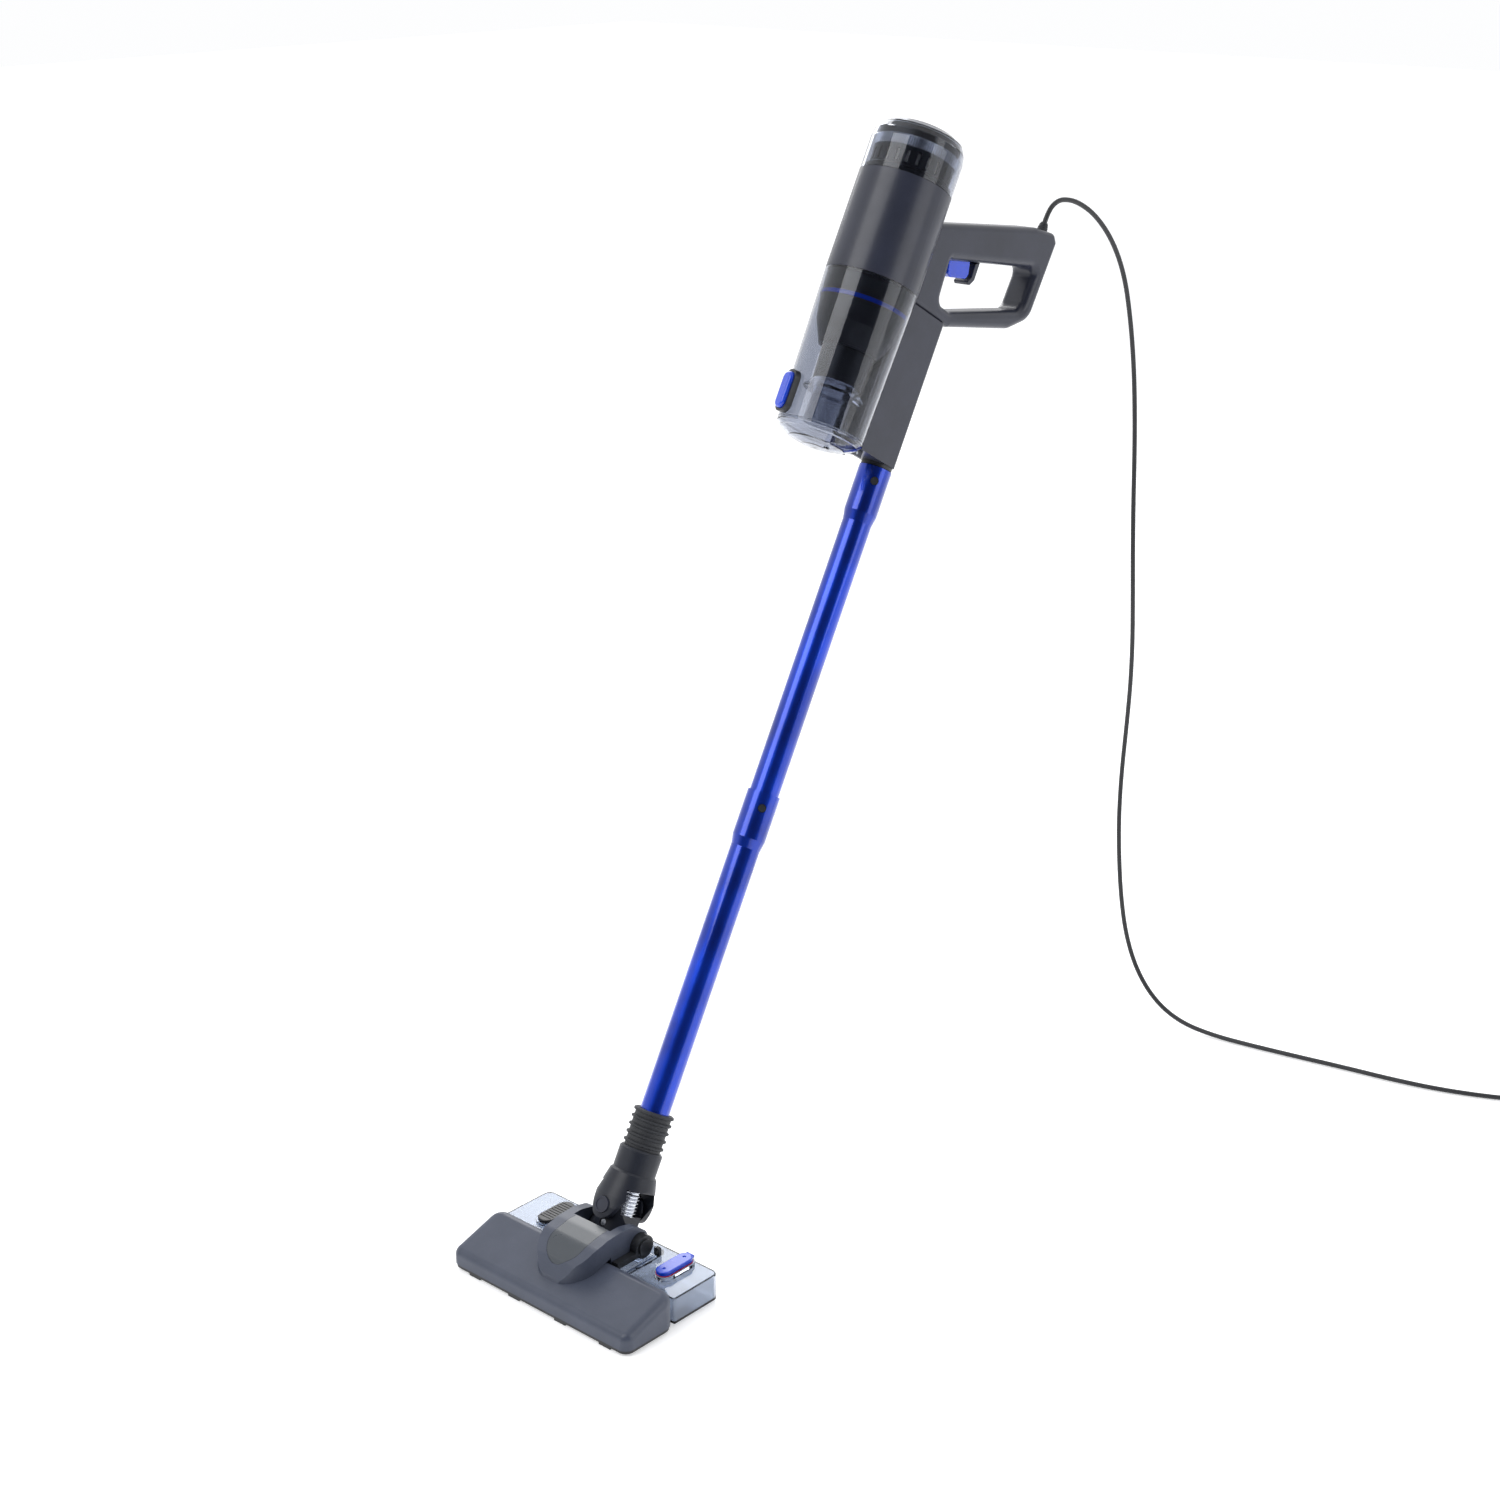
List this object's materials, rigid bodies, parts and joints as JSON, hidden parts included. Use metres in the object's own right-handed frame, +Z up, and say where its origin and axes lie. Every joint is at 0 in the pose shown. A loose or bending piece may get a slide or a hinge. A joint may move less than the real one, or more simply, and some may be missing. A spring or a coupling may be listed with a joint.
{
  "type": "upright vacuum cleaner",
  "caption": "Corded stick vacuum cleaner with a clear cyclone bin, metal tubes, a swivelling floor head and a clear water tank.",
  "frame": {"origin": "middle of the whole vacuum's footprint on the floor, cord left out, with the wand leaning as in use", "axes": "+Z up, -Y towards the front edge of the floor head, +X to the right-hand side with the blue tank cap"},
  "size_m": [0.7452, 1.2678, 1.1412],
  "materials": {
    "slate_plastic": "satin moulded",
    "dark_plastic": "fine moulded texture",
    "charcoal_rubber": "matte rubber",
    "blue_plastic": "satin moulded",
    "blue_tube": "metallic anodised",
    "smoke_clear": "clear polycarbonate",
    "tank_clear": "clear polycarbonate",
    "ring_silver": "bright",
    "chrome_hose": "bright",
    "white_plastic": "fine moulded texture",
    "filter_foam": "soft fibrous",
    "pleated_paper": "soft fibrous",
    "steel": "brushed",
    "brass_pin": "plain",
    "copper_winding": "metallic anodised",
    "aluminium": "cast",
    "red_seal": "matte rubber",
    "clear_seal": "matte rubber",
    "cord_rubber": "matte rubber",
    "wheel_rubber": "matte rubber"
  },
  "bodies": {
    "wand": {"motor_housing": "slate_plastic", "handle_left": "slate_plastic", "handle_right": "slate_plastic", "handle_screws": "steel", "duct_cover": "slate_plastic", "wand_spigot": "dark_plastic", "separator_cone": "dark_plastic", "filter_tube": "dark_plastic", "vortex_skirt": "smoke_clear", "seal_ring": "blue_plastic", "pre_filter": "filter_foam", "dust_bin": "smoke_clear", "latch_bezel": "dark_plastic", "latch_spring": "steel", "lid_hinge_pin": "steel", "motor_can": "aluminium", "motor_bearings": "steel", "exhaust_drum": "dark_plastic", "exhaust_ring": "ring_silver", "exhaust_filter": "pleated_paper", "trigger_spring": "steel", "trigger_switch": "dark_plastic", "upper_tube": "blue_tube", "lower_tube": "blue_tube", "snap_springs": "steel", "ribbed_collar": "charcoal_rubber", "neck_socket": "slate_plastic", "roll_pins": "slate_plastic", "strain_relief": "charcoal_rubber", "cord": "cord_rubber", "cord_coil": "cord_rubber", "plug_body": "cord_rubber", "plug_pins": "brass_pin"},
    "cap": {"exhaust_cap": "smoke_clear"},
    "rotor": {"motor_shaft": "steel", "armature": "copper_winding", "impeller": "aluminium"},
    "trigger_part": {"trigger": "blue_plastic"},
    "lid": {"bin_lid": "smoke_clear", "lid_seal": "clear_seal"},
    "latch": {"lid_latch": "blue_plastic"},
    "snap_upper": {"snap_button_upper": "dark_plastic"},
    "snap_lower": {"snap_button_lower": "dark_plastic"},
    "neck": {"neck_lower": "slate_plastic", "neck_screw": "steel", "neck_hose": "chrome_hose"},
    "head": {"head_shell": "slate_plastic", "saddle_cover": "slate_plastic", "saddle_inlay": "slate_plastic", "pivot_frame": "dark_plastic", "base_plate": "dark_plastic", "bumper_strip": "dark_plastic", "wheel_axles": "steel"},
    "left_wheel": {"wheel_left": "wheel_rubber"},
    "right_wheel": {"wheel_right": "wheel_rubber"},
    "tank": {"water_tank": "tank_clear", "fill_seal": "red_seal", "tank_latch": "dark_plastic"},
    "tank_cap": {"fill_cap": "blue_plastic"},
    "drip": {"drip_button": "dark_plastic"}
  },
  "joints": [
    {"name": "neck_roll", "type": "hinge", "parent": "wand", "child": "neck", "pos_m": [0, -0.28625, 0.06662], "axis": [0, 0.8712, -0.4909], "range_deg": [-35, 35]},
    {"name": "neck_pitch", "type": "hinge", "parent": "neck", "child": "head", "pos_m": [0, -0.2995, 0.0431], "axis": [1, 0, 0], "range_deg": [-17, 35]},
    {"name": "wheel_left_spin", "type": "hinge", "parent": "head", "child": "left_wheel", "pos_m": [-0.101, -0.3548, 0.008], "axis": [1, 0, 0], "continuous": true},
    {"name": "wheel_right_spin", "type": "hinge", "parent": "head", "child": "right_wheel", "pos_m": [0.101, -0.3548, 0.008], "axis": [1, 0, 0], "continuous": true},
    {"name": "tank_slide", "type": "slide", "parent": "head", "child": "tank", "axis": [0, 1, 0], "range_m": [0, 0.07]},
    {"name": "fill_cap_lift", "type": "hinge", "parent": "tank", "child": "tank_cap", "pos_m": [0.088, -0.2763, 0.0403], "axis": [-1, 0, 0], "range_deg": [0, 100]},
    {"name": "drip_press", "type": "slide", "parent": "tank", "child": "drip", "axis": [0, 0, -1], "range_m": [0, 0.0018], "stiffness_N_per_m": 500},
    {"name": "trigger_pull", "type": "slide", "parent": "wand", "child": "trigger_part", "axis": [0, 0.1706, 0.9853], "range_m": [0, 0.004], "stiffness_N_per_m": 800, "deforming": ["trigger_spring"]},
    {"name": "lid_drop", "type": "hinge", "parent": "wand", "child": "lid", "pos_m": [0, 0.07058, 0.80907], "axis": [1, 0, 0], "range_deg": [0, 80]},
    {"name": "latch_press", "type": "slide", "parent": "wand", "child": "latch", "axis": [0.3746, 0.8078, -0.4552], "range_m": [0, 0.003], "stiffness_N_per_m": 700, "deforming": ["latch_spring"]},
    {"name": "snap_upper_press", "type": "slide", "parent": "wand", "child": "snap_upper", "axis": [-0.7501, 0.5761, -0.3246], "range_m": [0, 0.0025], "stiffness_N_per_m": 600, "deforming": ["snap_springs"]},
    {"name": "snap_lower_press", "type": "slide", "parent": "wand", "child": "snap_lower", "axis": [-0.7501, 0.5761, -0.3246], "range_m": [0, 0.0025], "stiffness_N_per_m": 600},
    {"name": "cap_twist", "type": "hinge", "parent": "wand", "child": "cap", "pos_m": [0, 0.15842, 1.07293], "axis": [0, 0.4909, 0.8712], "range_deg": [0, 30]},
    {"name": "rotor_spin", "type": "hinge", "parent": "wand", "child": "rotor", "pos_m": [0, 0.11817, 1.00149], "axis": [0, 0.4909, 0.8712], "continuous": true}
  ]
}
